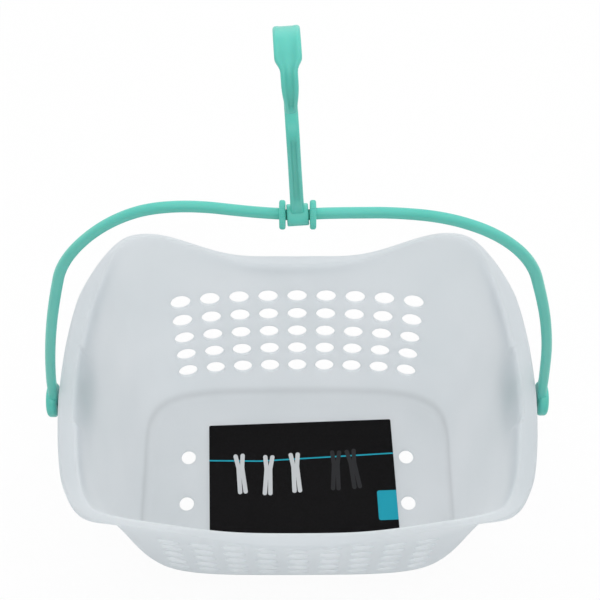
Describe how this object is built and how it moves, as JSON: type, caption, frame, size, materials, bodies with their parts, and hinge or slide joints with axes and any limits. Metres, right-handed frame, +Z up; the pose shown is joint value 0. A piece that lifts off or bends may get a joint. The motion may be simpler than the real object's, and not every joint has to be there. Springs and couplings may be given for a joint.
{
  "type": "peg basket",
  "caption": "Deep perforated plastic basket with a wavy turned-down rim, a bail that swings on moulded pins, a line hook that swings on the bail, and a plain card on its floor.",
  "frame": {"origin": "centre of the flat underside that the basket stands on", "axes": "+Z up, +X along the bail's pivots, -Y towards the front, where the hook's mouth opens"},
  "size_m": [0.27, 0.1736, 0.4009],
  "materials": {
    "clear_plastic": "milky translucent polypropylene, satin",
    "turquoise_plastic": "turquoise polypropylene, semi-gloss",
    "black_card": "coated black card with a plain turquoise tab"
  },
  "bodies": {
    "basket": {"basket_shell": "clear_plastic", "label_card": "black_card"},
    "bail": {"bail_handle": "turquoise_plastic"},
    "hook": {"hanging_hook": "turquoise_plastic"}
  },
  "joints": [
    {"name": "bail_hinge", "type": "hinge", "parent": "basket", "child": "bail", "pos_m": [0, 0, 0.1155], "axis": [1, 0, 0], "range_deg": [-130, 130]},
    {"name": "hook_hinge", "type": "hinge", "parent": "bail", "child": "hook", "pos_m": [0, 0, 0.29276], "axis": [1, 0, 0], "range_deg": [-120, 120]}
  ]
}
